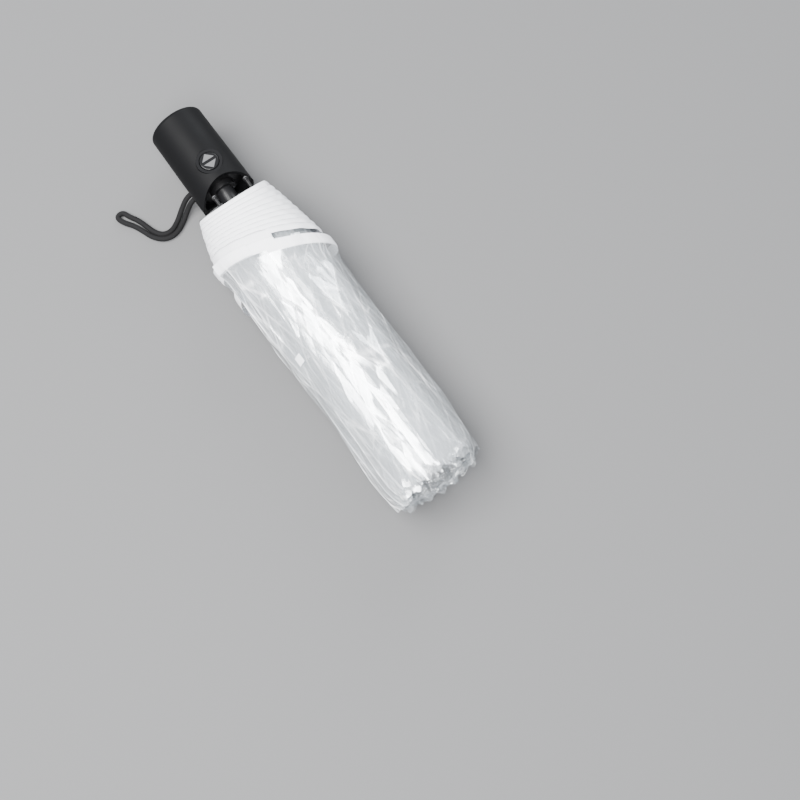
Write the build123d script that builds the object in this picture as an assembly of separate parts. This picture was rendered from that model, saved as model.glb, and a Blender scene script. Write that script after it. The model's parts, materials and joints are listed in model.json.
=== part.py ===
"""Compact three-fold automatic umbrella with a clear film canopy, stored folded and lying on its side.

+X runs along the shaft from the handle's flat end to the crown, +Z is up, millimetres.
A rib is drawn once in the XZ plane, with Z pointing away from the shaft, and then turned about X.
"""

from build123d import *
import os
from math import cos, pi, radians, sin, tan

# ---- driving dimensions ----
rib_count = 6
first_rib_angle = 0.0          # degrees from +Y towards +Z
running_gap = 0.06             # radial clearance of a pin in its hole, or of one tube in the next
body_gap = 0.4                 # space between pieces that pass each other
seat_gap = 0.1                 # space between a fixed piece and the pocket that it sits in

# handle
handle_length = 65.0
handle_radius = 19.0
mouth_flare = 0.6              # how much wider the handle is at its mouth
handle_wall = 2.4
end_cap_length = 4.0
end_cap_spigot = 4.0
end_round = 3.0
mouth_scoop = 8.0              # how far the rim is cut back between its two side lips
core_end_wall = 2.2
collar_length = 4.0
collar_wall = 3.0

# shaft
tube_radius = 6.0              # outside of the lower tube
tube_wall = 0.7
tube_gap = 12.0                # from the lower tube's end to the crown's pivots
tube_step = 3.0                # how far each tube stands out of the one around it
tube_start = 26.3              # where the lower tube begins inside the handle
drive_spring_bore = 1.6

# button
button_x = 44.2
button_radius = 6.4
button_rise = 0.5              # how far its face stands above the handle
bezel_radius = 8.8
bezel_height = 4.0
stem_radius = 2.4
button_face = 4.5              # thickness of the button's head
button_round = 0.6
spring_radius = 4.6
spring_wall = 0.8
ledge_thickness = 0.7
symbol_size = 3.2
symbol_turn = 45.0             # the bar lies across the shaft
symbol_bar = 1.1
symbol_rise = 0.25

# latch lever under the button
latch_pivot_x = 32.6
latch_pivot_z = 9.6
latch_reach = 14.0
latch_thickness = 1.5
latch_width = 5.0
latch_pin_radius = 0.9
latch_eye_wall = 1.0

# canopy frame
crown_x = 286.3                # inner ribs' pivots
crown_pivot_radius = 9.0
crown_radius = 11.3
crown_half_length = 5.0
crown_slot_floor = 6.4
cap_radius = 9.5
cap_length = 7.0
cap_round = 4.75
elbow_x = 96.3                 # pivots between inner and middle ribs, near the handle's mouth
knee_gap = 5.0                 # from the knees to the crown's pivots
pin_radius = 0.8
pin_seat = 1.4                 # how far a pin reaches into the hub on each side of its slot
eye_radius = 2.2
ear_radius = 2.4
bar_start = 3.4                # from a pivot to where its bar begins
crown_bar_start = 6.0
channel_half_width = 2.2
channel_slot_half = 1.3
channel_low = 7.2
channel_high = 11.2
channel_roof = 0.6
channel_end = 4.0              # solid stretch at the channel's crown end
neck_step = 2.0                # how much shallower the channel is beside the elbow
bar_overlap = 1.0              # how far a bar runs into the piece that it grows out of
tongue_half_width = 1.0
tongue_half_height = 1.4
elbow_radius = 12.6            # pivots between inner and middle ribs
mid_low = 13.0
mid_high = 16.0
mid_half_width = 2.0
mid_neck_step = 0.6            # how much thinner the middle rib is beside its pivots
knee_radius = 16.6             # pivots between middle and outer ribs
outer_rod_radius = 1.2
outer_rod_start = 18.2
outer_tongue_overlap = 1.5     # how far the rod's flat end lies along the rod
outer_tongue_low = 0.2         # above the knee's pivot
outer_tongue_high = 0.6        # above the rod's start
tip_x = 69.3
tip_radius = 24.0              # how far the tips lie from the shaft's axis
ball_radius = 1.8
stretcher_half_width = 0.9
stretcher_half_height = 1.0
stretcher_eye = 1.3
runner_x = 88.3                # stretchers' pins on the runner, above the handle's mouth
runner_sleeve_radius = 7.3
runner_sleeve_reach = 17.0     # from the runner's pins to its handle end
runner_flange_half = 4.0

# film canopy, folded into sectors between the ribs
film_inside = 31.0
film_thickness = 2.2
film_start = 70.8
film_reach = 17.0              # past the crown's pivots
sector_first_gap = 3.0         # degrees left free beside the rib that a sector starts at
sector_last_gap = 17.0         # and before the next rib
floor_z = -32.0
film_leaf_thickness = 0.4
film_leaf_gap = 0.3
film_leaf_near = 2.6           # how far beside its rib a folded leaf begins
film_leaf_far = 8.5
film_leaf_start_gap = 18.0     # from the elbows
film_leaf_end_gap = 22.0       # from the crown's pivots
strap_tab_x = 128.3
strap_tab_width = 8.0
strap_tab_thickness = 0.8
strap_tab_from = 176.0
strap_tab_to = 226.0

# wrist strap
strap_diameter = 3.6
anchor_width = 9.6
anchor_x = 41.5
anchor_near = 4.0
anchor_far = 13.0
anchor_low = handle_radius + 4.2
strap_points = [
    (39.3, -13.0, -20.6), (39.3, -18.4, -20.6), (42.1, -25.3, -26.8), (46.6, -31.8, -30.0),
    (50.4, -38.6, -30.0), (49.8, -45.0, -30.0), (44.5, -49.2, -30.0), (37.8, -51.1, -30.0),
    (31.0, -53.2, -30.0), (25.0, -56.8, -30.0), (20.1, -58.6, -30.0), (20.7, -63.8, -30.0),
    (26.2, -62.6, -30.0), (32.8, -57.6, -30.0), (39.6, -54.7, -30.0), (47.1, -52.0, -30.0),
    (53.4, -46.0, -30.0), (54.0, -37.2, -30.0), (49.6, -29.4, -30.0), (45.3, -22.9, -26.6),
    (43.7, -17.6, -20.6), (43.7, -13.0, -20.6),
]

# ---- values that follow ----
rib_step = 360.0 / rib_count
rib_angles = [first_rib_angle + rib_step * i for i in range(rib_count)]
inner_length = crown_x - elbow_x
knee_x = crown_x - knee_gap
stretcher_x = (crown_x + runner_x) / 2    # the stretcher is as long as its share of the inner rib
stretcher_pivot = crown_x - stretcher_x
runner_sleeve_start = runner_x - runner_sleeve_reach
film_end = crown_x + film_reach
film_leaf_start = elbow_x + film_leaf_start_gap
film_leaf_end = crown_x - film_leaf_end_gap
hole_radius = pin_radius + running_gap
cavity_radius = handle_radius - handle_wall
core_start = end_cap_length + end_cap_spigot + seat_gap
pocket_half = bezel_radius + body_gap
pocket_end = button_x + pocket_half
core_end = pocket_end + core_end_wall
core_radius = cavity_radius - seat_gap
button_top = handle_radius + button_rise
button_low = button_top - button_face
latch_top = latch_pivot_z + latch_thickness / 2
stem_low = latch_top + seat_gap
spring_low = latch_top + body_gap + ledge_thickness
tube_end = crown_x - tube_gap
middle_radius = tube_radius - tube_wall - running_gap
upper_radius = middle_radius - tube_wall - running_gap
upper_bore = upper_radius - tube_wall
upper_end = crown_x + crown_half_length
film_outside = film_inside + film_thickness
inner_leaf_low = channel_high + body_gap
mid_leaf_low = inner_leaf_low + film_leaf_thickness + film_leaf_gap
mouth_cut_radius = (handle_radius ** 2 + mouth_scoop ** 2) / (2 * mouth_scoop)


def rod(x_start, x_end, radius):
    """Round bar on the shaft's axis."""
    return Pos((x_start + x_end) / 2, 0, 0) * Rot(0, 90, 0) * Cylinder(radius, x_end - x_start)


def tube(x_start, x_end, outside, inside):
    """Round tube on the shaft's axis."""
    return rod(x_start, x_end, outside) - rod(x_start - 1, x_end + 1, inside)


def block(x_low, x_high, y_low, y_high, z_low, z_high):
    """Box given by its faces."""
    centre = Pos((x_low + x_high) / 2, (y_low + y_high) / 2, (z_low + z_high) / 2)
    return centre * Box(x_high - x_low, y_high - y_low, z_high - z_low)


def cross_rod(x, z, radius, half_width):
    """Round bar across a rib."""
    return Pos(x, 0, z) * Rot(90, 0, 0) * Cylinder(radius, 2 * half_width)


def upright(x, z_low, z_high, radius):
    """Round bar that stands up from the shaft's axis."""
    return Pos(x, 0, (z_low + z_high) / 2) * Cylinder(radius, z_high - z_low)


def sector(x_start, x_end, inside, outside, angle_start, angle_end):
    """Part of a tube round the shaft, between two angles from +Y towards +Z."""
    middle = radians((angle_start + angle_end) / 2)
    reach = 2 * outside
    wedge = Plane.YZ.offset(x_start) * Polygon(
        (0, 0),
        (reach * cos(radians(angle_start)), reach * sin(radians(angle_start))),
        (reach * cos(middle), reach * sin(middle)),
        (reach * cos(radians(angle_end)), reach * sin(radians(angle_end))),
        align=None,
    )
    return tube(x_start, x_end, outside, inside) & extrude(wedge, x_end - x_start)


def place(shape, angle):
    """Turn a rib drawn in the XZ plane to its place round the shaft."""
    return Rot(angle - 90, 0, 0) * shape


def fork(x, z, radius, half_width):
    """Two round ears with a pin between them."""
    slot = block(x - 9, x + 9, -channel_slot_half, channel_slot_half, z - 9, z + 9)
    return cross_rod(x, z, radius, half_width) - slot + cross_rod(x, z, pin_radius, half_width)


# ---- handle ----
def handle_shell():
    """Outer grip, hollow, with a scooped mouth and a round hole for the button."""
    body = Pos((end_cap_length + handle_length) / 2, 0, 0) * Rot(0, 90, 0) * Cone(
        handle_radius, handle_radius + mouth_flare, handle_length - end_cap_length)
    body -= rod(end_cap_length - 1, handle_length + 1, cavity_radius)
    scoop_x = handle_length - mouth_scoop + mouth_cut_radius
    body -= Pos(scoop_x, 0, 0) * Cylinder(mouth_cut_radius, 3 * handle_radius)
    body -= upright(button_x, 0, 2 * handle_radius, bezel_radius + seat_gap)
    return body


def handle_end_cap():
    """Cap with a rounded edge and a spigot that plugs the grip."""
    cap = rod(0, end_cap_length, handle_radius)
    rim = cap.edges().filter_by(GeomType.CIRCLE).sort_by(Axis.X)[0]
    cap = fillet(rim, end_round)
    return cap + tube(end_cap_length, end_cap_length + end_cap_spigot, core_radius, core_radius - handle_wall)


def handle_core():
    """Inner body that holds the lower tube, the latch's pin and a ledge for the button's spring."""
    body = rod(core_start, core_end, core_radius)
    body += rod(core_start, core_end + collar_length, tube_radius + collar_wall)
    body -= rod(tube_start, core_end + collar_length + 1, tube_radius)
    pocket_start = latch_pivot_x - latch_thickness - 2 * body_gap
    body -= block(pocket_start, pocket_end, -pocket_half, pocket_half, tube_radius + body_gap, 2 * core_radius)
    ledge = block(button_x - spring_radius, button_x + spring_radius, -pocket_half, pocket_half,
                  spring_low - ledge_thickness, spring_low)
    body += ledge - upright(button_x, 0, spring_low + 1, stem_radius + body_gap)
    body += cross_rod(latch_pivot_x, latch_pivot_z, latch_pin_radius, pocket_half)
    return body & rod(core_start, core_end + collar_length, core_radius)


def button_bezel():
    """Fixed ring in the grip round the button."""
    ring = upright(button_x, button_top - bezel_height, button_top - button_rise, bezel_radius)
    return ring - upright(button_x, 0, 2 * handle_radius, button_radius + body_gap)


def push_button():
    """Round button with a stem that reaches down to the latch."""
    head = upright(button_x, button_low, button_top, button_radius)
    rim = head.edges().filter_by(GeomType.CIRCLE).sort_by(Axis.Z)[-1]
    head = fillet(rim, button_round)
    return head + upright(button_x, stem_low, button_low, stem_radius)


def button_symbol():
    """Two raised triangles with a diagonal bar's width between them: the open and close mark."""
    side = symbol_size
    shift = symbol_bar * 0.7
    upper = Polygon((-side, side), (side, side), (-side, -side), align=None)
    lower = Polygon((side, -side), (side, side), (-side, -side), align=None)
    marks = Pos(-shift, shift, 0) * upper + Pos(shift, -shift, 0) * lower
    face = Pos(button_x, 0, button_top) * Rot(0, 0, symbol_turn) * marks
    return extrude(face, symbol_rise, dir=(0, 0, 1))


def button_spring():
    """Coil that lifts the button again, as the sleeve that it fills."""
    sleeve = upright(button_x, spring_low, button_low, spring_radius)
    return sleeve - upright(button_x, spring_low - 1, button_low + 1, spring_radius - spring_wall)


def latch_lever():
    """Lever under the button's stem, on a pin in the core."""
    arm = block(latch_pivot_x, latch_pivot_x + latch_reach, -latch_width / 2, latch_width / 2,
                latch_top - latch_thickness, latch_top)
    eye = cross_rod(latch_pivot_x, latch_pivot_z, latch_pin_radius + latch_eye_wall, latch_width / 2)
    hole = cross_rod(latch_pivot_x, latch_pivot_z, latch_pin_radius + running_gap, latch_width)
    return arm + eye - hole


# ---- shaft ----
def shaft_tubes():
    """Three tubes that slide into each other."""
    lower = tube(tube_start, tube_end, tube_radius, tube_radius - tube_wall)
    middle = tube(tube_start + tube_step, tube_end + tube_step, middle_radius, middle_radius - tube_wall)
    upper = tube(tube_start + 2 * tube_step, upper_end, upper_radius, upper_bore)
    return lower, middle, upper


def drive_spring():
    """Long coil inside the upper tube, as the sleeve that it fills."""
    return tube(tube_start + 2 * tube_step, tube_end - tube_step, upper_bore - 2 * body_gap, drive_spring_bore)


def crown():
    """Notched hub on the upper tube that holds the inner ribs' pins."""
    body = tube(crown_x - crown_half_length, crown_x + crown_half_length, crown_radius, upper_radius)
    slot_half = tongue_half_width + body_gap
    slot = block(crown_x - crown_half_length - 1, crown_x + eye_radius + body_gap,
                 -slot_half, slot_half, crown_slot_floor, crown_radius + 5)
    pin = cross_rod(crown_x, crown_pivot_radius, pin_radius, slot_half + pin_seat)
    for angle in rib_angles:
        body -= place(slot, angle)
    for angle in rib_angles:
        body += place(pin, angle)
    return body


def top_cap():
    """Domed nut over the end of the upper tube."""
    start = upper_end + seat_gap
    cap = rod(start, start + cap_length, cap_radius)
    rim = cap.edges().filter_by(GeomType.CIRCLE).sort_by(Axis.X)[-1]
    return fillet(rim, cap_round)


def runner():
    """Sliding sleeve with a notched flange for the stretchers' pins."""
    low = runner_x - runner_flange_half
    high = runner_x + runner_flange_half
    body = rod(runner_sleeve_start, high, runner_sleeve_radius) + rod(low, high, crown_radius)
    body -= rod(runner_sleeve_start - 1, high + 1, tube_radius + running_gap)
    slot_half = stretcher_half_width + body_gap
    slot = block(runner_x - stretcher_eye - body_gap, high + 1, -slot_half, slot_half,
                 runner_sleeve_radius, crown_radius + 5)
    pin = cross_rod(runner_x, crown_pivot_radius, pin_radius, slot_half + pin_seat)
    for angle in rib_angles:
        body -= place(slot, angle)
    for angle in rib_angles:
        body += place(pin, angle)
    return body


# ---- one rib, in the XZ plane ----
def rib_inner():
    """Channel from the crown to the elbow, open towards the shaft."""
    low_x = elbow_x + bar_start
    high_x = crown_x - crown_bar_start
    channel = block(low_x, high_x, -channel_half_width, channel_half_width, channel_low, channel_high)
    neck = block(elbow_x, low_x + bar_overlap, -channel_half_width, channel_half_width,
                 channel_low + neck_step, channel_high)
    body = channel + neck - block(elbow_x - 1, high_x - channel_end, -channel_slot_half, channel_slot_half,
                                  0, channel_high - channel_roof)
    body -= block(elbow_x - 1, low_x, -channel_slot_half, channel_slot_half, 0, elbow_radius + 5)
    body += fork(elbow_x, elbow_radius, ear_radius, channel_half_width)
    body += cross_rod(stretcher_x, crown_pivot_radius, pin_radius, channel_half_width)
    tongue = block(high_x - bar_overlap, crown_x, -tongue_half_width, tongue_half_width,
                   crown_pivot_radius - tongue_half_height, crown_pivot_radius + tongue_half_height)
    tongue += cross_rod(crown_x, crown_pivot_radius, eye_radius, tongue_half_width)
    return body + tongue - cross_rod(crown_x, crown_pivot_radius, hole_radius, 2 * tongue_half_width)


def rib_mid():
    """Bar from the elbow to the knee, folded back over the inner rib."""
    bar = block(elbow_x + bar_start, knee_x - bar_start, -mid_half_width, mid_half_width, mid_low, mid_high)
    tongue = block(elbow_x, elbow_x + bar_start + bar_overlap, -tongue_half_width, tongue_half_width,
                   elbow_radius, mid_high - mid_neck_step)
    tongue += cross_rod(elbow_x, elbow_radius, eye_radius, tongue_half_width)
    tongue -= cross_rod(elbow_x, elbow_radius, hole_radius, 2 * tongue_half_width)
    neck = block(knee_x - bar_start - bar_overlap, knee_x, -mid_half_width, mid_half_width,
                 mid_low + mid_neck_step, knee_radius)
    neck -= block(knee_x - bar_start, knee_x + 5, -channel_slot_half, channel_slot_half, 0, knee_radius + 5)
    return bar + tongue + neck + fork(knee_x, knee_radius, ear_radius, mid_half_width)


def rib_outer():
    """Thin rod from the knee to the ball tip at the handle's mouth."""
    start = Vector(knee_x - bar_start, 0, outer_rod_start)
    end = Vector(tip_x, 0, tip_radius)
    direction = end - start
    shank = extrude(Plane(start, z_dir=direction) * Circle(outer_rod_radius), direction.length)
    shank += Pos(*end) * Sphere(ball_radius)
    tongue = block(knee_x - bar_start - outer_tongue_overlap, knee_x, -tongue_half_width, tongue_half_width,
                   knee_radius + outer_tongue_low, outer_rod_start + outer_tongue_high)
    tongue += cross_rod(knee_x, knee_radius, eye_radius, tongue_half_width)
    return shank + tongue - cross_rod(knee_x, knee_radius, hole_radius, 2 * tongue_half_width)


def stretcher():
    """Bar from the inner rib to the runner, nested in the inner rib's channel."""
    bar = block(runner_x, stretcher_x, -stretcher_half_width, stretcher_half_width,
                crown_pivot_radius - stretcher_half_height, crown_pivot_radius + stretcher_half_height)
    for x in (runner_x, stretcher_x):
        bar += cross_rod(x, crown_pivot_radius, stretcher_eye, stretcher_half_width)
    for x in (runner_x, stretcher_x):
        bar -= cross_rod(x, crown_pivot_radius, hole_radius, 2 * stretcher_half_width)
    return bar


# ---- film ----
def film_outer(angle):
    """Outer third of one gore, folded round the bundle and flat where it lies on the floor."""
    ring = sector(film_start, film_end, film_inside, film_outside,
                  angle + sector_first_gap, angle + rib_step - sector_last_gap)
    big = 2 * film_outside
    return ring - block(film_start - 1, film_end + 1, -big, big, -big, floor_z)


def film_leaf(low):
    """Inner or middle third of one gore, folded flat beside its rib between the inner and middle ribs."""
    return block(film_leaf_start, film_leaf_end, -film_leaf_far, -film_leaf_near,
                 low, low + film_leaf_thickness)


def closing_strap():
    """Short white strap end that lies round the roll."""
    return sector(strap_tab_x, strap_tab_x + strap_tab_width, film_outside,
                  film_outside + strap_tab_thickness, strap_tab_from, strap_tab_to)


# ---- wrist strap ----
def strap_anchor():
    """Block under the grip that holds both ends of the wrist strap."""
    body = block(anchor_x - anchor_width / 2, anchor_x + anchor_width / 2, -anchor_far, -anchor_near,
                 -anchor_low, -handle_radius / 2)
    return body - rod(0, handle_length, handle_radius + mouth_flare)


def arc_radii(points):
    """Largest arc at each corner that its two runs leave room for."""
    corners = [Vector(*point) for point in points]
    radii = []
    for before, corner, after in zip(corners, corners[1:], corners[2:]):
        turn = (corner - before).get_angle(after - corner)
        shorter = min((corner - before).length, (after - corner).length)
        radii.append(0.45 * shorter / tan(radians(turn) / 2))
    return radii


def wrist_strap():
    """Round braided cord, one loop whose two ends sit in the anchor."""
    radii = arc_radii(strap_points)
    path = FilletPolyline(*strap_points, radius=radii)
    print("strap arcs:", [round(radius, 1) for radius in radii])
    start = Plane(path @ 0, z_dir=path % 0)
    cord = sweep(start * Circle(strap_diameter / 2), path=path, transition=Transition.RIGHT)
    section = pi * strap_diameter ** 2 / 4
    print("strap length", round(path.length, 1), "volume ratio", round(cord.volume / section / path.length, 4))
    return cord


def all_parts():
    """Every node's name with its solid."""
    lower, middle, upper = shaft_tubes()
    parts = {
        "handle_shell": handle_shell(),
        "handle_end_cap": handle_end_cap(),
        "handle_core": handle_core(),
        "button_bezel": button_bezel(),
        "push_button": push_button(),
        "button_symbol": button_symbol(),
        "button_spring": button_spring(),
        "latch_lever": latch_lever(),
        "shaft_tube_lower": lower,
        "shaft_tube_middle": middle,
        "shaft_tube_upper": upper,
        "drive_spring": drive_spring(),
        "crown": crown(),
        "top_cap": top_cap(),
        "runner": runner(),
        "strap_anchor": strap_anchor(),
        "wrist_strap": wrist_strap(),
        "closing_strap": closing_strap(),
    }
    for number, angle in enumerate(rib_angles, 1):
        parts[f"rib_inner_{number}"] = place(rib_inner(), angle)
        parts[f"rib_mid_{number}"] = place(rib_mid(), angle)
        parts[f"rib_outer_{number}"] = place(rib_outer(), angle)
        parts[f"stretcher_{number}"] = place(stretcher(), angle)
        parts[f"film_inner_{number}"] = place(film_leaf(inner_leaf_low), angle)
        parts[f"film_mid_{number}"] = place(film_leaf(mid_leaf_low), angle)
        parts[f"film_outer_{number}"] = film_outer(angle)
    return parts


os.makedirs("parts", exist_ok=True)
for name, shape in all_parts().items():
    export_step(shape, f"parts/{name}.step")
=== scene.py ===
# %% [markdown]
# # A clear compact umbrella, folded
# The umbrella lies on its side with its three-fold frame closed and its clear film rolled round it.
# The solid parts come from the CAD frame: grip, button, tubes, ribs.
# This script adds what CAD can't: film, woven hem, braided strap, and the finish of every surface.

import json
import math

import bpy
import numpy as np
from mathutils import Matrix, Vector


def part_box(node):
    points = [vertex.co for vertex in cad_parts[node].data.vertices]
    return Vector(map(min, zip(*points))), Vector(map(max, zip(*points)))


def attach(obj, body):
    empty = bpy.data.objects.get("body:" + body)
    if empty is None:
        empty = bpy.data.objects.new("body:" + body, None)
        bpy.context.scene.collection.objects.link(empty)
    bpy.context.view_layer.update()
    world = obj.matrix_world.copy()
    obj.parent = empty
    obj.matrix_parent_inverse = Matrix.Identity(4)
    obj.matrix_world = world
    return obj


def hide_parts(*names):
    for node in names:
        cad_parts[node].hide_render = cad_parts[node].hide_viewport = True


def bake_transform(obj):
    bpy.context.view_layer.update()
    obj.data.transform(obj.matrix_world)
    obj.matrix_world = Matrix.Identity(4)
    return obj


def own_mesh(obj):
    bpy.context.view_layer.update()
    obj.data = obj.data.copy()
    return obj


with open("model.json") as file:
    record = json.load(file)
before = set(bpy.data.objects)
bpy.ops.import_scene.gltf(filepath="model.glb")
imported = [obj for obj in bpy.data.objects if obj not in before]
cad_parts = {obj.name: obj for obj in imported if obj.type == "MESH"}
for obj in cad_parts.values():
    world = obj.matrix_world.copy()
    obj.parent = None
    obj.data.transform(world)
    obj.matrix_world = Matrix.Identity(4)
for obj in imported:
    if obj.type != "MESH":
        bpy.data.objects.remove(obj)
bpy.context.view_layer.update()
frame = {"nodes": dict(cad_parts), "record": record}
scene = bpy.context.scene

# %% [markdown]
# ## Camera
# The picture looks almost straight down, from beyond the crown's end of the umbrella.

# %% Camera
camera_data = bpy.data.cameras.new("camera")
camera_data.lens = 92.25
camera = bpy.data.objects.new("camera", camera_data)
camera.location = (0.5986, -0.2390, 1.2226)
look_at = Vector((0.24473, 0.01039, 0.0))
camera.rotation_mode = "QUATERNION"
camera.rotation_quaternion = (look_at - camera.location).to_track_quat("-Z", "Y")
scene.collection.objects.link(camera)
scene.camera = camera

# %% [markdown]
# ## Materials
# Each finish is a small network of nodes.
# A wrapper round a node's output lets the networks be written as sums and products.

# %% Socket arithmetic
class Socket:
    """An output of a node, whose arithmetic adds the next node."""

    def __init__(self, paint, output):
        self.paint = paint
        self.output = output

    def combine(self, operation, first, second):
        kinds = {side.output.type for side in (first, second) if isinstance(side, Socket)}
        if "VECTOR" in kinds or isinstance(second, tuple):
            values = {"Vector": first, "Vector_001": second}
            return self.paint.node("ShaderNodeVectorMath", {"operation": operation}, values)
        values = {"Value": first, "Value_001": second}
        return self.paint.node("ShaderNodeMath", {"operation": operation}, values)

    def __add__(self, other):
        return self.combine("ADD", self, other)

    def __radd__(self, other):
        return self.combine("ADD", other, self)

    def __rsub__(self, other):
        return self.combine("SUBTRACT", other, self)

    def __mul__(self, other):
        return self.combine("MULTIPLY", self, other)

    def __rmul__(self, other):
        return self.combine("MULTIPLY", other, self)


class Paint:
    """A material with one Principled shader, and methods that add nodes to it."""

    def __init__(self, name, colour, roughness, metallic=0.0, **more):
        self.material = bpy.data.materials.new(name)
        self.material.use_nodes = True
        self.tree = self.material.node_tree
        self.shader = self.tree.nodes["Principled BSDF"]
        self.shader.inputs["Base Color"].default_value = (*colour, 1.0)
        self.shader.inputs["Roughness"].default_value = roughness
        self.shader.inputs["Metallic"].default_value = metallic
        for socket_name, value in more.items():
            self.shader.inputs[socket_name.replace("_", " ")].default_value = value

    def fill(self, target, value):
        if isinstance(value, Socket):
            self.tree.links.new(value.output, target)
        elif target.type == "RGBA" and len(value) == 3:
            target.default_value = (*value, 1.0)
        else:
            target.default_value = value

    def node(self, kind, settings=None, values=None, output=0):
        made = self.tree.nodes.new(kind)
        for key, value in (settings or {}).items():
            setattr(made, key, value)
        for key, value in (values or {}).items():
            target = next(socket for socket in made.inputs if socket.identifier == key)
            self.fill(target, value)
        if isinstance(output, str):
            return Socket(self, next(socket for socket in made.outputs if socket.identifier == output))
        return Socket(self, made.outputs[output])

    def place(self):
        """Position on the piece, in metres."""
        return self.node("ShaderNodeTexCoord", output="Object")

    def noise(self, vector, scale, detail=2.0, roughness=0.5):
        values = {"Vector": vector, "Scale": scale, "Detail": detail, "Roughness": roughness}
        return self.node("ShaderNodeTexNoise", {}, values)

    def smooth(self, value, low, high, to_low=0.0, to_high=1.0):
        values = {"Value": value, "From Min": low, "From Max": high, "To Min": to_low, "To Max": to_high}
        return self.node("ShaderNodeMapRange", {"interpolation_type": "SMOOTHSTEP"}, values)

    def mix(self, factor, first, second):
        values = {"Factor_Float": factor, "A_Color": first, "B_Color": second}
        return self.node("ShaderNodeMix", {"data_type": "RGBA"}, values, "Result_Color")

    def set(self, socket_name, value):
        self.fill(self.shader.inputs[socket_name], value)

    def bump(self, height, distance, strength=1.0):
        values = {"Height": height, "Distance": distance, "Strength": strength}
        self.set("Normal", self.node("ShaderNodeBump", {}, values))


# %% [markdown]
# The grip is moulded plastic with a soft matte skin: very dark, faintly grained, and a little
# shinier where hands have rubbed it.

# %% Grip, button and other plastics
grip = Paint("soft_matte_black", (0.0030, 0.0031, 0.0035), 0.5, Specular_IOR_Level=0.10)
where = grip.place()
grip.set("Roughness", 0.46 + 0.16 * grip.noise(where, 60.0))
grip.bump(grip.noise(where, 2600.0, 1.0), 0.00006, 0.5)

dark_plastic = Paint("satin_black", (0.005, 0.005, 0.0055), 0.4, Specular_IOR_Level=0.25)
dark_plastic.set("Roughness", 0.3 + 0.2 * dark_plastic.noise(dark_plastic.place(), 120.0))

button_gloss = Paint("gloss_black", (0.004, 0.004, 0.0045), 0.2, Specular_IOR_Level=0.3)
button_gloss.bump(button_gloss.noise(button_gloss.place(), 260.0, 1.0), 0.00002, 0.4)

symbol_silver = Paint("silver_print", (0.085, 0.085, 0.088), 0.45, 0.1)
symbol_silver.bump(symbol_silver.noise(symbol_silver.place(), 1500.0, 1.0), 0.00003, 0.4)

frame_plastic = Paint("moulded_black", (0.007, 0.007, 0.0075), 0.42, Specular_IOR_Level=0.25)
frame_plastic.bump(frame_plastic.noise(frame_plastic.place(), 900.0), 0.00005, 0.4)

# %% [markdown]
# The metal parts: dark coated tubes, a bright spring, grey coated channels and black rods.
# The very end of each rod's ball carries a painted highlight: a small patch of bright metal.

# %% Metals
def drawn_metal(name, colour, roughness):
    """Metal with faint lines along the shaft."""
    metal = Paint(name, colour, roughness, 1.0)
    stretched = metal.place() * (0.03, 1.0, 1.0)
    lines = metal.noise(stretched, 2200.0, 2.0)
    metal.set("Roughness", (roughness - 0.06) + 0.14 * lines)
    metal.bump(lines, 0.00002, 0.3)
    return metal


shaft_steel = Paint("dark_coated_tube", (0.009, 0.009, 0.01), 0.34, Specular_IOR_Level=0.3)
shaft_lines = shaft_steel.noise(shaft_steel.place() * (0.03, 1.0, 1.0), 2200.0)
shaft_steel.set("Roughness", 0.28 + 0.14 * shaft_lines)
spring_steel = drawn_metal("spring_wire", (0.62, 0.62, 0.63), 0.26)
rib_steel = drawn_metal("grey_channel", (0.42, 0.43, 0.45), 0.36)

rod_colour = (0.006, 0.006, 0.0065)
tip_highlight_colour = (0.6, 0.6, 0.61)
tip_highlight_length = 0.0012
# Painted highlight: the very end of each ball turns to bright metal, standing for the glint on it.
rib_black = Paint("black_rod", rod_colour, 0.34, Specular_IOR_Level=0.2)
along = rib_black.node("ShaderNodeSeparateXYZ", {}, {"Vector": rib_black.place()}, "X")
tip_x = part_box("rib_outer_1")[0].x
bright = rib_black.smooth(along, tip_x + tip_highlight_length, tip_x + tip_highlight_length / 3.0)
rib_black.set("Base Color", rib_black.mix(bright, rod_colour, tip_highlight_colour))
rib_black.set("Metallic", bright)
rib_black.set("Roughness", 0.34 - 0.12 * bright)

# %% [markdown]
# The hem is a white woven tape sewn round the film's edge. Its threads cross at a fine pitch.
# The strap's black yarn takes the same weave, finer.

# %% Woven tape
white = (0.93, 0.94, 0.97)


def woven(name, colour, pitch, depth):
    """Plain weave: two sets of threads across each other, drawn in the piece's flat map."""
    cloth = Paint(name, colour, 0.85, Specular_IOR_Level=0.2)
    flat = cloth.node("ShaderNodeUVMap", {"uv_map": "flat"})
    values = {"Vector": flat, "Scale": 1.0 / pitch / 3.0}
    warp = cloth.node("ShaderNodeTexWave", {"bands_direction": "X"}, values, "Fac")
    weft = cloth.node("ShaderNodeTexWave", {"bands_direction": "Y"}, values, "Fac")
    threads = 0.5 * (warp + weft)
    uneven = cloth.noise(flat, 90.0)
    shade = tuple(0.88 * channel for channel in colour)
    cloth.set("Base Color", cloth.mix(0.5 * threads + 0.4 * uneven, shade, colour))
    cloth.bump(threads + 0.6 * uneven, depth, 0.5)
    return cloth


white_fabric = woven("white_hem_tape", white, 0.00045, 0.00009)
strap_braid = woven("black_braid", (0.0065, 0.0065, 0.007), 0.0004, 0.00006)

# %% [markdown]
# The film is clear plastic about a tenth of a millimetre thick.
# One layer shows mostly its reflections. Many crumpled layers together look milky and bluish white.
# So one paint makes both: a see-through one for each gore, and a denser one for the folded bulk.

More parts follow.
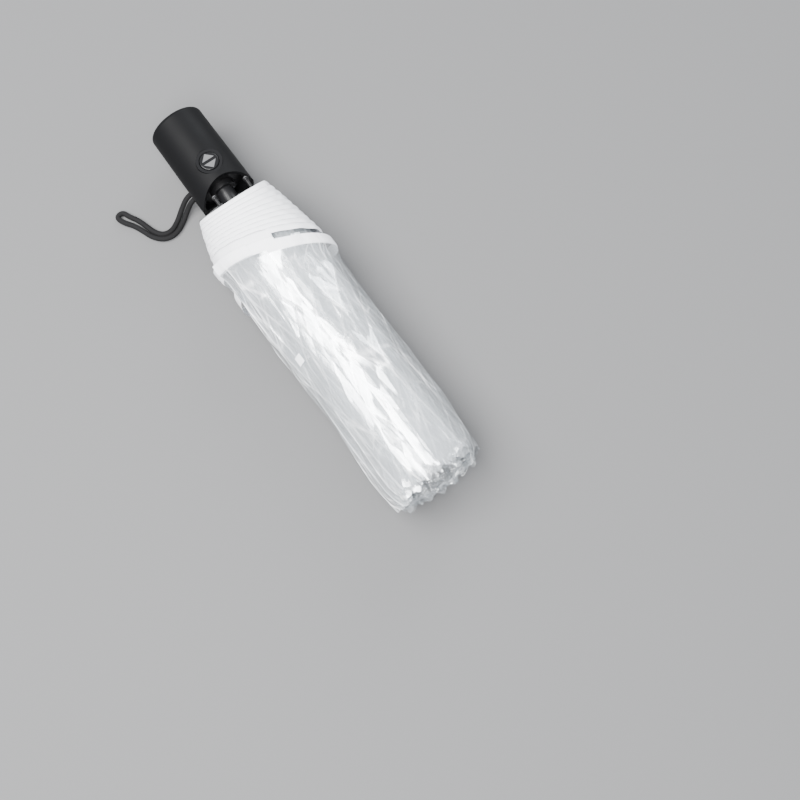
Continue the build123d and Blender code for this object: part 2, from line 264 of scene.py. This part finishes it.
# %% Film
def film(name, colour, alpha, roughness, metallic):
    """Clear film with flat facets between sharp creases, a painted highlight along the creases, and a white,
    opaque sewn hem.
    """
    plastic = Paint(name, colour, roughness, metallic)
    flat = plastic.node("ShaderNodeUVMap", {"uv_map": "flat"})
    wander = plastic.noise(flat, 9.0, 1.0)
    leaning = flat * (0.30, 1.0, 1.0) + wander * (0.009, 0.009, 0.0)
    edges = {"feature": "DISTANCE_TO_EDGE"}
    large = plastic.node("ShaderNodeTexVoronoi", edges, {"Vector": leaning, "Scale": 34.0})
    small = plastic.node("ShaderNodeTexVoronoi", edges, {"Vector": leaning + (0.3, 0.1, 0.0), "Scale": 105.0})
    cloud = plastic.noise(flat, 26.0, 3.0, 0.6)
    crumpled = plastic.smooth(cloud, 0.44, 0.62)
    hem = plastic.node("ShaderNodeAttribute", {"attribute_name": "hem"}, output="Fac")
    fold = plastic.node("ShaderNodeAttribute", {"attribute_name": "crease"}, output="Fac")
    line = plastic.smooth(large, 0.034, 0.0) * plastic.smooth(cloud, 0.42, 0.60) * 0.6
    fine_line = plastic.smooth(small, 0.06, 0.0) * crumpled * 0.5
    crease_highlight_mask = line + fine_line + 0.6 * fold + 0.08 * crumpled
    plastic.set("Alpha", alpha + crease_highlight_mask * (1.0 - alpha) + hem)
    # Painted highlight: creases and crumpled patches are mixed towards white and made more opaque, standing
    # for the bright lines that light draws along folds.
    crease_highlight_colour = plastic.mix(0.75 * crease_highlight_mask, colour, (0.96, 0.97, 0.98))
    plastic.set("Base Color", plastic.mix(hem, crease_highlight_colour, white))
    plastic.set("Metallic", metallic * (1.0 - hem) * (1.0 - 0.5 * crease_highlight_mask))
    plastic.set("Roughness", roughness + 0.16 * crumpled + 0.6 * hem)
    plastic.bump(large + small * (0.05 + 0.28 * crumpled), 0.0024, 1.0)
    return plastic


clear_film = film("clear_film", (0.90, 0.94, 0.97), 0.30, 0.09, 0.75)
milky_film = film("folded_film", (0.53, 0.575, 0.60), 0.94, 0.24, 0.35)

# %% [markdown]
# Every CAD node takes the finish that its record slot names.

# %% Finish of the CAD nodes
finishes = {
    "handle_grip": grip,
    "dark_plastic": dark_plastic,
    "button_gloss": button_gloss,
    "symbol_silver": symbol_silver,
    "spring_steel": spring_steel,
    "shaft_steel": shaft_steel,
    "frame_plastic": frame_plastic,
    "strap_braid": strap_braid,
    "white_fabric": white_fabric,
    "clear_film": clear_film,
    "rib_black": rib_black,
    "rib_steel": rib_steel,
}
slot_of = {part["node"]: part["material_slot"] for part in frame["record"]["subparts"]}
for node_name, node_object in frame["nodes"].items():
    node_object.data.materials.clear()
    node_object.data.materials.append(finishes[slot_of[node_name]].material)
print("nodes painted:", len(frame["nodes"]))

# %% [markdown]
# ## Sheets
# A sheet is a grid of points with a flat map measured along it, so that a weave keeps its pitch.
# Angles go round the shaft from +Y towards +Z, like the frame's ribs.
# Places along the shaft count in millimetres from a zero that puts the rib tips at 64.9.

# %% Sheet helpers
mm = 0.001
tips_at = 64.9
zero_x = tip_x / mm - tips_at
floor_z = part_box("film_outer_5")[0].z
roll_radius = -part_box("film_outer_4")[0].y
layer_rise = 0.02
innermost_layer = 20.0
print("floor and roll radius (mm):", round(floor_z / mm, 2), round(roll_radius / mm, 2))


def lengths_along(points, axis):
    """Distance along a grid from its first row or column."""
    steps = np.linalg.norm(np.diff(points, axis=axis), axis=2)
    first = np.zeros_like(np.take(steps, [0], axis=axis))
    return np.concatenate([first, np.cumsum(steps, axis=axis)], axis=axis)


map_shift = 0.0173


def sheet(name, points, paint, hem=None, crease=None):
    """Mesh of a grid of points, smooth, with its flat map and its painted masks."""
    rows, columns, _ = points.shape
    index = np.arange(rows * columns).reshape(rows, columns)
    faces = np.stack([index[:-1, :-1], index[1:, :-1], index[1:, 1:], index[:-1, 1:]], axis=-1)
    mesh = bpy.data.meshes.new(name)
    mesh.from_pydata(points.reshape(-1, 3).tolist(), [], faces.reshape(-1, 4).tolist())
    mesh.polygons.foreach_set("use_smooth", [True] * len(mesh.polygons))
    flat = np.stack([lengths_along(points, 0), lengths_along(points, 1)], axis=-1).reshape(-1, 2)
    flat = flat + map_shift * len(bpy.data.meshes)
    corners = np.empty(len(mesh.loops), dtype=np.int32)
    mesh.loops.foreach_get("vertex_index", corners)
    mesh.uv_layers.new(name="flat").data.foreach_set("uv", flat[corners].ravel())
    for mask_name, mask in (("hem", hem), ("crease", crease)):
        if mask is not None:
            layer = mesh.attributes.new(mask_name, "FLOAT", "POINT")
            layer.data.foreach_set("value", np.asarray(mask, dtype=np.float32).ravel())
    mesh.materials.append(paint.material)
    made = bpy.data.objects.new(name, mesh)
    scene.collection.objects.link(made)
    return made


def wrapped(x, radius, angle):
    """Points round the shaft, in millimetres and degrees, pressed flat where they would pass the floor."""
    turn = np.radians(angle)
    y = radius * np.cos(turn)
    lowest = floor_z / mm + layer_rise * (radius - innermost_layer)
    z = np.maximum(radius * np.sin(turn), lowest)
    return np.stack(np.broadcast_arrays(x + zero_x, y, z), axis=-1) * mm


def triangle(value):
    """Zigzag between -1 and 1, which leaves flat facets with sharp folds between them."""
    return 2.0 * np.abs(2.0 * (value - np.floor(value + 0.5))) - 1.0


def crumple(x, arc, seed, depth, lean=24.0, folds=7):
    """Crossing zigzags: how far out each point stands, and how close it is to a fold."""
    rng = np.random.default_rng(seed)
    out = np.zeros(np.broadcast(x, arc).shape)
    near = np.zeros_like(out)
    for _ in range(folds):
        slant = math.radians(rng.uniform(-lean, lean))
        pitch = rng.uniform(12.0, 42.0)
        start = rng.uniform(0.0, 1.0)
        across = x * math.sin(slant) + arc * math.cos(slant)
        drift = 3.0 * np.sin(x / rng.uniform(30.0, 70.0) + rng.uniform(0.0, 6.0))
        phase = (across + drift) / pitch + start
        patch = 0.5 + 0.5 * np.sin(x / rng.uniform(18.0, 50.0) + arc / rng.uniform(12.0, 40.0) + start * 6.0)
        wave = triangle(phase)
        out += depth * patch * wave * pitch / 30.0
        near += patch * np.clip((np.abs(wave) - 0.9) / 0.1, 0.0, 1.0)
    return out, np.clip(near, 0.0, 1.0)

# %% [markdown]
# The roll is widest where the outermost hem ends. From there the stack of hems tapers to the rib tips,
# so the film inside it tapers too.

# %% Outline of the roll
hem_width = 8.0
stack_start = 66.0
cuff_count = 10
slit_width = 7.5
slit_middle = 31.0
slit_half_angle = 60.0
mouth_set_back = 9.5
tip_stack_radius = 24.4
stack_growth = 11.0
crown_end = 289.0


def band_end(angle):
    """How far along the shaft the outermost hem ends at each angle, in millimetres."""
    turn = np.radians(angle)
    return 123.0 + 12.0 * np.cos(turn) + 4.5 * np.sin(turn)


def slit(angle):
    """Gap between the outermost hem and the stack, open on the right side and the top."""
    away = np.abs((np.asarray(angle) - slit_middle + 180.0) % 360.0 - 180.0)
    return slit_width * np.clip((slit_half_angle - away) / 3.0, 0.08, 1.0)


def first_edge(angle):
    """Where the stack of hems begins: set back on top, so that the mouth of the grip shows."""
    return stack_start + mouth_set_back * np.clip(np.sin(np.radians(angle)), 0.0, 1.0)


def stack_radius(x, angle):
    """Outside of the stack of hems, in millimetres."""
    stack = band_end(angle) - hem_width - first_edge(angle)
    share = np.clip((x - first_edge(angle)) / stack, 0.0, 1.0)
    return tip_stack_radius + stack_growth * share ** 0.85

# %% [markdown]
# ## Folded bulk
# Inside the roll the film lies in many layers between the ribs.
# A single dense spiral stands for them: the ribs behind it only just show.
# It gathers up towards the crown when the canopy opens.

# %% Bulk of the folded film
bulk_inside = 27.6
spiral_start = -20.0
spiral_sweep = 370.0
spiral_rise = 1.6
end_closes_in = 7.0
bulk_angle = np.linspace(spiral_start, spiral_start + spiral_sweep, 180)[None, :]
bulk_share = np.linspace(0.0, 1.0, 150)[:, None]
bulk_x = first_edge(bulk_angle) + hem_width + (crown_end - first_edge(bulk_angle)) * bulk_share
bulk_arc = np.radians(bulk_angle) * 28.0
bulk_out, bulk_fold = crumple(bulk_x, bulk_arc, 11, 1.0)
bulk_radius = bulk_inside + spiral_rise * (bulk_angle - spiral_start) / spiral_sweep + 0.6 * bulk_out
bulk_radius = bulk_radius - end_closes_in * np.clip((bulk_x - 286.0) / 11.0, 0.0, 1.0) ** 2
bulk_radius = np.minimum(bulk_radius, stack_radius(bulk_x, bulk_angle) - spiral_rise)
bulk_points = wrapped(bulk_x, bulk_radius, bulk_angle)
bulk = sheet("film_folded_bulk", bulk_points, milky_film, crease=bulk_fold)
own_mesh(bulk)
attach(bulk, "shaft_upper")
# It moves with the upper shaft when the canopy opens.

# %% [markdown]
# ## Gores
# Each gore is one third of a panel long at every fold, so a rib carries three sheets: inner, middle, outer.
# The outer sheet wraps the roll and shows. The other two lie flat beside their rib, hidden inside.
# Each sheet starts at its own rib.

# %% Outer gore sheets
rib_angles = [60.0 * number for number in range(6)]
gore_spread = 68.0
gore_inside = 30.6
gore_end = 300.0
gore_middle = 184.0
gore_run = np.linspace(0.0, 1.0, 170)[:, None]
gore_share = np.linspace(0.0, 1.0, 64)[None, :]
for number, angle in enumerate(rib_angles, 1):
    gore_angle = angle + gore_spread * gore_share
    near = first_edge(gore_angle) + 2.0
    gore_x = near + (gore_end - near) * gore_run
    out, fold = crumple(gore_x, np.radians(gore_angle) * 32.0, 100 + number, 0.9)
    radius = gore_inside + 1.8 * gore_share + 0.55 * out
    end = np.clip((gore_x - 284.0) / 16.0, 0.0, 1.0)
    ragged = 1.2 * triangle(gore_angle / 23.0 + 0.3 * number) + 0.8 * np.sin(gore_angle / 5.0)
    radius = radius - (5.0 + 2.0 * np.sin(gore_angle / 7.0)) * end ** 2
    x = gore_x + ragged * end
    radius = np.minimum(radius, stack_radius(x, gore_angle) - 0.8 + 0.3 * gore_share)
    points = wrapped(x, radius, gore_angle)
    hem = np.clip((near + 8.5 - gore_x) / 0.8, 0.0, 1.0)
    gore = sheet(f"gore_outer_{number}", points, clear_film, hem=hem, crease=fold)
    first = wrapped(gore_middle, 31.0, np.array(angle))
    last = wrapped(gore_middle, 31.0, np.array(angle + gore_spread))
    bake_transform(gore)
    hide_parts(f"film_outer_{number}")

# %% Inner and middle gore sheets
leaf_width = 10.4
leaf_start = 99.3
leaf_middle = 187.0
for number, angle in enumerate(rib_angles, 1):
    turn = math.radians(angle)
    outward = np.array([0.0, math.cos(turn), math.sin(turn)])
    sideways = np.array([0.0, -math.sin(turn), math.cos(turn)])
    for part, height, leaf_end in (("inner", 11.8, 283.3), ("mid", 12.5, 278.3)):
        leaf_x = np.linspace(leaf_start, leaf_end, 60)[:, None, None]
        aside = np.linspace(0.0, leaf_width, 6)[None, :, None]
        ripple = 0.12 * np.sin(leaf_x / 6.0) * aside / leaf_width
        points = leaf_x * np.array([1.0, 0.0, 0.0]) + aside * sideways + (height + ripple) * outward
        points = points * mm
        leaf = sheet(f"gore_{part}_{number}", points, clear_film)
        first = np.array([leaf_middle * mm, 0.0, 0.0]) + height * mm * outward
        last = first + leaf_width * mm * sideways
        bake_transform(leaf)
        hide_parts(f"film_{part}_{number}")
print("gore sheets:", 3 * len(rib_angles))

# %% [markdown]
# ## Hem
# Rolled up, the white hem lies in a stack of cuffs, each a little wider than the last. They start
# further along on top, where the grip's mouth shows.
# Ten cuffs show under the outermost band. The stack is one pleated strip for each rib that carries it.
# The last cuff stops short of the band on the right, which leaves a slit.

# %% Hem cuffs
def cuff_edge(step, angle):
    """Where each cuff of the stack begins, in millimetres along the shaft."""
    first = first_edge(angle)
    last = band_end(angle) - hem_width
    even = first + (last - slit_width - first) * step / cuff_count
    return last - slit(angle) if step == cuff_count else even


cuff_from = -8.0
cuff_to = 53.0
cuff_overlap = 0.9
for number, rib_angle in enumerate(rib_angles, 1):
    angle = np.linspace(rib_angle + cuff_from, rib_angle + cuff_to, 40)[None, :]
    share = np.linspace(0.0, 1.0, 7)[:, None]
    rows = []
    for step in range(cuff_count):
        back = cuff_edge(step, angle)
        front = cuff_edge(step + 1, angle) + cuff_overlap
        bulge = 0.8 * np.sin(math.pi * share) + 0.3 * np.sin(angle / 4.0 + step * 2.1) * share
        radius = stack_radius(back, angle) + 0.9 + 0.4 * share + bulge
        rows.append(wrapped(back + (front - back) * share, radius, angle))
    points = np.concatenate(rows, axis=0)
    cuffs = sheet(f"hem_cuffs_{number}", points, white_fabric)
    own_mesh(cuffs)
    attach(cuffs, f"rib_outer_{number}")
print("hem cuffs round the roll:", cuff_count)

# %% [markdown]
# ## Outer wraps
# The last folds of film are wound right round the roll. Their hem makes the widest band,
# and their free edges run down the left side, where they stand off a little.
# Each wrap rides on its rib.


def wrap_flap(name, rib, first, last, seed, lift, height, reach, back=0.0):
    """One wound fold between two angles: hem at its near end, ragged at its far end, lifted free edge."""
    share = np.linspace(0.0, 1.0, 110)[None, :]
    angle = first + (last - first) * share
    begin = band_end(angle) - hem_width - back
    run = np.linspace(0.0, 1.0, 190)[:, None] ** 1.15
    far = reach + 0.9 * triangle(angle / 17.0 + seed) + 0.6 * np.sin(angle / 3.3) + 0.5 * np.sin(angle * 0.9)
    x = begin + (far - begin) * run
    since = x - begin
    out, fold = crumple(x, np.radians(angle) * 33.0, seed, 1.3)
    settled = np.clip((since - hem_width) / 16.0, 0.0, 1.0)
    flare = 4.0 * np.exp(-np.clip(since - 6.0, 0.0, None) / 9.0)
    edge = lift * np.clip((share - 0.8) / 0.2, 0.0, 1.0) ** 2 * (0.6 + 0.4 * np.sin(x / 19.0 + seed))
    close_in = 6.0 * np.clip((x - 286.0) / 16.0, 0.0, 1.0) ** 2 * (0.6 + 0.4 * np.sin(angle / 6.0 + seed))
    radius = height + flare + 0.55 * out * settled + edge - close_in
    points = wrapped(x, radius, angle)
    hem = np.clip((hem_width - since) / 0.5, 0.0, 1.0)
    doubled = np.clip((share - 0.97) / 0.01, 0.0, 1.0)
    crease = np.clip(fold * settled + 0.8 * doubled, 0.0, 1.0)
    flap = sheet(name, points, clear_film, hem=hem, crease=crease)
    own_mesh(flap)
    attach(flap, f"rib_outer_{rib}")


wrap_flap("wrap_right", 1, -52.0, 103.0, 3, 0.5, 33.6, 298.0)
wrap_flap("wrap_left", 3, 90.0, 186.0, 5, 1.6, 33.2, 302.0, 2.5)
wrap_flap("wrap_edge_1", 3, 116.0, 152.0, 6, 1.4, 33.8, 298.0, 3.0)
wrap_flap("wrap_edge_2", 3, 124.0, 166.0, 7, 2.0, 34.0, 303.0, 3.2)
wrap_flap("wrap_below", 4, 170.0, 300.0, 8, 0.5, 33.0, 299.0)
print("outer wraps:", 5)

# %% [markdown]
# At the crown the folds' ends stand up as a crumpled rosette round the cap.

# %% Rosette at the crown's end
rosette_turns = 4.2
rosette_outside = 29.0
rosette_inside = 10.0
turn_share = np.linspace(0.0, 1.0, 520)[None, :]
rosette_angle = 30.0 + 360.0 * rosette_turns * turn_share
rise = np.linspace(0.0, 1.0, 14)[:, None]
ruffle = 2.2 * np.sin(np.radians(rosette_angle) * 9.0) + 1.3 * triangle(rosette_angle / 31.0)
rosette_radius = rosette_outside - (rosette_outside - rosette_inside) * turn_share
rosette_radius = rosette_radius + ruffle * (0.35 + 0.65 * rise)
height = 12.0 + 3.5 * triangle(rosette_angle / 47.0) + 2.5 * np.sin(np.radians(rosette_angle) * 5.3)
rosette_x = 287.0 + height * rise
rosette_points = wrapped(rosette_x, rosette_radius, rosette_angle)
rosette_fold = np.clip(np.abs(triangle(rosette_angle / 31.0)) * 1.6 - 0.9, 0.0, 1.0) * (0.4 + 0.6 * rise)
rosette = sheet("film_rosette", rosette_points, clear_film, crease=rosette_fold)
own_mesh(rosette)
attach(rosette, "shaft_upper")
print("rosette turns:", rosette_turns)

# %% [markdown]
# A short white tape closes the roll. Its end shows at the left, and a small white patch sits further on.

# %% Closing tape and patch
tape_start = 126.0
tape_width = 8.0
tape_radius = 36.6
tape_angle = np.linspace(158.0, 226.0, 40)[None, :]
tape_x = np.linspace(tape_start, tape_start + tape_width, 9)[:, None]
tape_lift = 3.2 * np.clip((186.0 - tape_angle) / 28.0, 0.0, 1.0) ** 1.5
tape_points = wrapped(tape_x, tape_radius + tape_lift + 0.0 * tape_x, tape_angle)
tape = sheet("closing_tape", tape_points, white_fabric)
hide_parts("closing_strap")
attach(tape, "film_outer_4")

patch_start = 186.0
patch_width = 6.5
patch_radius = 34.6
patch_angle = np.linspace(143.0, 154.0, 12)[None, :]
patch_x = np.linspace(patch_start, patch_start + patch_width, 8)[:, None]
patch_points = wrapped(patch_x, patch_radius + 0.0 * patch_x, patch_angle)
patch = sheet("white_patch", patch_points, white_fabric)
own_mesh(patch)
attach(patch, "rib_outer_3")

# %% [markdown]
# ## Wrist strap
# A round braid leaves the block under the grip, lies on the table in a loop and comes back to it.
# It follows the same points as the CAD cord, as a smooth spline.

# %% Strap
strap_points = [
    (39.3, -13.0, -20.6), (39.3, -18.4, -20.6), (42.1, -25.3, -26.8), (46.6, -31.8, -30.0),
    (50.4, -38.6, -30.0), (49.8, -45.0, -30.0), (44.5, -49.2, -30.0), (37.8, -51.1, -30.0),
    (31.0, -53.2, -30.0), (25.0, -56.8, -30.0), (20.1, -58.6, -30.0), (20.7, -63.8, -30.0),
    (26.2, -62.6, -30.0), (32.8, -57.6, -30.0), (39.6, -54.7, -30.0), (47.1, -52.0, -30.0),
    (53.4, -46.0, -30.0), (54.0, -37.2, -30.0), (49.6, -29.4, -30.0), (45.3, -22.9, -26.6),
    (43.7, -17.6, -20.6), (43.7, -13.0, -20.6),
]
line_data = bpy.data.curves.new("strap_line", "CURVE")
line_data.dimensions = "3D"
spline = line_data.splines.new("NURBS")
spline.points.add(len(strap_points) - 1)
for point, place in zip(spline.points, strap_points):
    point.co = (*(v * mm for v in place), 1.0)
spline.order_u = 3
spline.use_endpoint_u = True
spline.resolution_u = 12
line = bpy.data.objects.new("strap_line", line_data)
scene.collection.objects.link(line)
bpy.context.view_layer.update()
line_mesh = bpy.data.meshes.new_from_object(line.evaluated_get(bpy.context.evaluated_depsgraph_get()))
route = np.array([v.co for v in line_mesh.vertices])
bpy.data.objects.remove(line)
strap_length = float(np.linalg.norm(np.diff(route, axis=0), axis=1).sum())
print("strap length (m):", round(strap_length, 4), "points", len(route))

# %% [markdown]
# The braid is a tube of sixteen strands, half of them wound each way.
# Its surface rises where a strand passes over the one that crosses it.

# %% Braided tube
strap_radius = 0.0018
strand_rise = 0.0001
strands_each_way = 8
strand_pitch = 0.015
ahead = np.gradient(route, axis=0)
ahead /= np.linalg.norm(ahead, axis=1)[:, None]
side = np.cross(ahead[0], np.array([0.0, 0.0, 1.0]))
sides = []
for direction in ahead:
    side = side - direction * side.dot(direction)
    side /= np.linalg.norm(side)
    sides.append(side)
sides = np.array(sides)
ups = np.cross(ahead, sides)
fine = np.linspace(0.0, len(route) - 1.0, 900)
ring = np.linspace(0.0, 2.0 * math.pi, 25)


def finer(values):
    """The same values at closer steps along the route."""
    return np.stack([np.interp(fine, np.arange(len(route)), values[:, axis]) for axis in range(3)], axis=1)


along_route = np.linspace(0.0, strap_length, len(fine))[:, None]
twist = 2.0 * math.pi * along_route / strand_pitch
left_turn = np.sin(strands_each_way * (ring[None, :] + twist))
right_turn = np.sin(strands_each_way * (ring[None, :] - twist))
relief = strand_rise * np.maximum(left_turn, right_turn)
across = np.cos(ring)[None, :, None] * finer(sides)[:, None, :]
upwards = np.sin(ring)[None, :, None] * finer(ups)[:, None, :]
from_middle = (strap_radius - strand_rise + relief)[:, :, None]
tube_points = finer(route)[:, None, :] + from_middle * (across + upwards)
strap = sheet("wrist_strap_braid", tube_points, strap_braid)
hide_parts("wrist_strap")
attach(strap, "handle")

# %% [markdown]
# ## Table and light
# A plain pale table, one wide soft light almost overhead, leaning a little to the strap's side,
# and an even grey surround. The wide light draws the bright streak down the roll.

# %% Table and light
table_paint = Paint("table", (0.128, 0.129, 0.131), 0.75, Specular_IOR_Level=0.2)
table_paint.bump(table_paint.noise(table_paint.place(), 400.0), 0.00003, 0.2)
reach = 4.0
corners = [(-reach, -reach, 0), (reach, -reach, 0), (reach, reach, 0), (-reach, reach, 0)]
table_mesh = bpy.data.meshes.new("table")
table_mesh.from_pydata(corners, [], [(0, 1, 2, 3)])
table_mesh.materials.append(table_paint.material)
table = bpy.data.objects.new("table", table_mesh)
cord_underside = strap_points[4][2] * mm - strap_radius
table.location.z = min(floor_z, cord_underside) - 0.0001
scene.collection.objects.link(table)


def soft_light(name, place, target, width, length, power, colour):
    """Rectangular light, its long side along the shaft."""
    data = bpy.data.lights.new(name, "AREA")
    data.shape = "RECTANGLE"
    data.size = length
    data.size_y = width
    data.energy = power
    data.color = colour
    light = bpy.data.objects.new(name, data)
    light.location = place
    light.rotation_mode = "QUATERNION"
    light.rotation_quaternion = (Vector(target) - Vector(place)).to_track_quat("-Z", "Y")
    scene.collection.objects.link(light)


lean = math.radians(113.0)
distance = 1.7
overhead = (0.25, distance * math.cos(lean), distance * math.sin(lean))
soft_light("overhead", overhead, (0.18, 0.0, 0.0), 1.1, 1.9, 150.0, (1.0, 0.99, 0.98))
soft_light("fill", (-0.9, 1.4, 1.0), (0.15, 0.0, 0.0), 1.0, 1.0, 26.0, (0.95, 0.98, 1.0))

world = bpy.data.worlds.new("surround")
world.use_nodes = True
world.node_tree.nodes["Background"].inputs["Color"].default_value = (0.80, 0.82, 0.86, 1.0)
world.node_tree.nodes["Background"].inputs["Strength"].default_value = 1.5
scene.world = world
